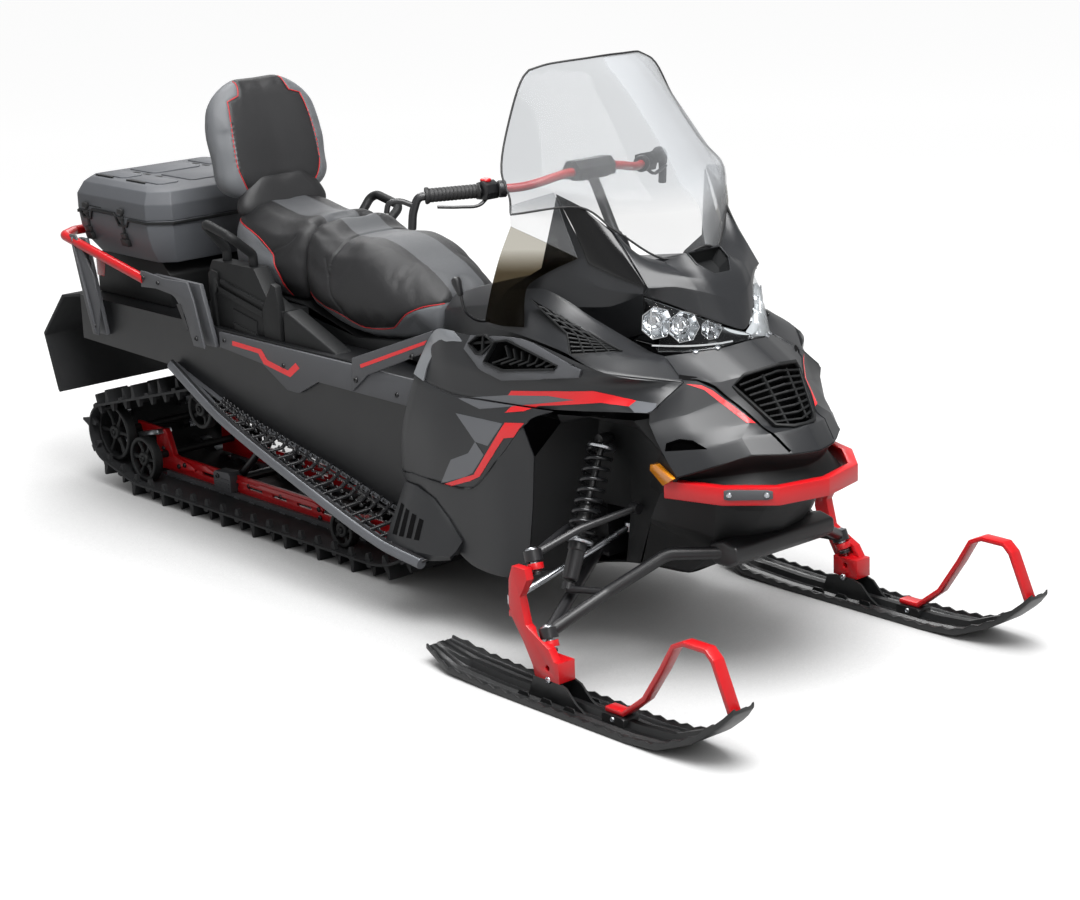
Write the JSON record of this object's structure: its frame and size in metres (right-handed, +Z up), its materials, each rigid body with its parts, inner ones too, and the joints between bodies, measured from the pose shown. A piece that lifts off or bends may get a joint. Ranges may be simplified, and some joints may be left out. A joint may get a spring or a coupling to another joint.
{
  "type": "snowmobile",
  "caption": "Touring snowmobile with steered skis under a faceted nose, a long lugged track in a tunnel, a two-up seat with backrest, and a lidded cargo box on a rear rail.",
  "frame": {"origin": "ground level under the middle of the machine's outline box", "axes": "+X forward to the ski tips, +Y to the rider's left, +Z up"},
  "size_m": [3.2583, 1.164, 1.438],
  "materials": {
    "body_black": "satin",
    "rubber_black": "matte",
    "plastic_black": "matte",
    "steel_black": "satin",
    "red_metal": "satin",
    "tunnel_black": "satin",
    "aluminium_grey": "textured",
    "plastic_grey": "satin",
    "box_grey": "satin",
    "seat_vinyl": "grained",
    "clear_screen": "clear",
    "smoke_plastic": "translucent",
    "lamp_lens": "clear"
  },
  "bodies": {
    "chassis": {"track": "rubber_black", "rear_wheels": "plastic_black", "idler_wheels": "plastic_black", "drive_axle": "steel_black", "slide_rails": "red_metal", "rail_sliders": "plastic_black", "swing_arms": "steel_black", "skid_shocks": "steel_black", "tunnel": "tunnel_black", "running_boards": "aluminium_grey", "tunnel_trims": "plastic_grey", "foot_wells": "plastic_black", "side_panels": "body_black", "lower_sides": "body_black", "shoulder_panels": "plastic_grey", "vent_panels": "body_black", "hood": "body_black", "lower_nose": "body_black", "cowl": "body_black", "windscreen": "clear_screen", "headlamps": "lamp_lens", "front_mesh": "plastic_black", "belly_pan": "plastic_black", "inner_fenders": "plastic_black", "deflectors": "smoke_plastic", "front_bumper": "red_metal", "front_frame": "steel_black", "engine": "steel_black", "upper_arms": "steel_black", "lower_arms": "steel_black", "front_shocks": "steel_black", "steering_post": "steel_black", "console": "plastic_black", "driver_seat": "seat_vinyl", "passenger_seat": "seat_vinyl", "seat_base": "plastic_black", "backrest": "seat_vinyl", "backrest_posts": "steel_black", "grab_handles": "plastic_grey", "cargo_box": "box_grey", "rear_rack": "red_metal", "rack_brackets": "plastic_grey", "tail_housing": "plastic_black", "snow_flap": "rubber_black"},
    "steering": {"handlebar": "red_metal"},
    "ski_unit_right": {"spindle_right": "red_metal", "ski_right": "plastic_black", "ski_loop_right": "red_metal"},
    "ski_unit_left": {"spindle_left": "red_metal", "ski_left": "plastic_black", "ski_loop_left": "red_metal"},
    "tie_link_right": {"tie_rod_right": "aluminium_grey"},
    "tie_link_left": {"tie_rod_left": "aluminium_grey"},
    "box_lid": {"cargo_lid": "box_grey"}
  },
  "joints": [
    {"name": "handlebar_steer", "type": "hinge", "parent": "chassis", "child": "steering", "pos_m": [0.728, 0, 0.986], "axis": [-0.4811, 0, 0.8767], "range_deg": [-25.5, 25.5]},
    {"name": "ski_right_steer", "type": "hinge", "parent": "chassis", "child": "ski_unit_right", "pos_m": [1.003, -0.506, 0.15], "axis": [-0.3426, 0.087, 0.9354], "range_deg": [-24.5, 24.5]},
    {"name": "ski_left_steer", "type": "hinge", "parent": "chassis", "child": "ski_unit_left", "pos_m": [1.003, 0.506, 0.15], "axis": [-0.3426, -0.087, 0.9354], "range_deg": [-24.5, 24.5]},
    {"name": "tie_rod_right_pivot", "type": "hinge", "parent": "ski_unit_right", "child": "tie_link_right", "pos_m": [0.868, -0.498, 0.214], "axis": [0, 0, 1], "range_deg": [-24.5, 24.5]},
    {"name": "tie_rod_left_pivot", "type": "hinge", "parent": "ski_unit_left", "child": "tie_link_left", "pos_m": [0.868, 0.498, 0.214], "axis": [0, 0, 1], "range_deg": [-24.5, 24.5]},
    {"name": "cargo_lid_hinge", "type": "hinge", "parent": "chassis", "child": "box_lid", "pos_m": [-1.185, 0.27, 0.879], "axis": [-1, 0, 0], "range_deg": [0, 95]}
  ],
  "couplings": [
    {"joint": "ski_right_steer", "follows": "handlebar_steer", "ratio": 0.95},
    {"joint": "ski_left_steer", "follows": "handlebar_steer", "ratio": 0.95},
    {"joint": "tie_rod_right_pivot", "follows": "handlebar_steer", "ratio": -0.95},
    {"joint": "tie_rod_left_pivot", "follows": "handlebar_steer", "ratio": -0.95}
  ]
}
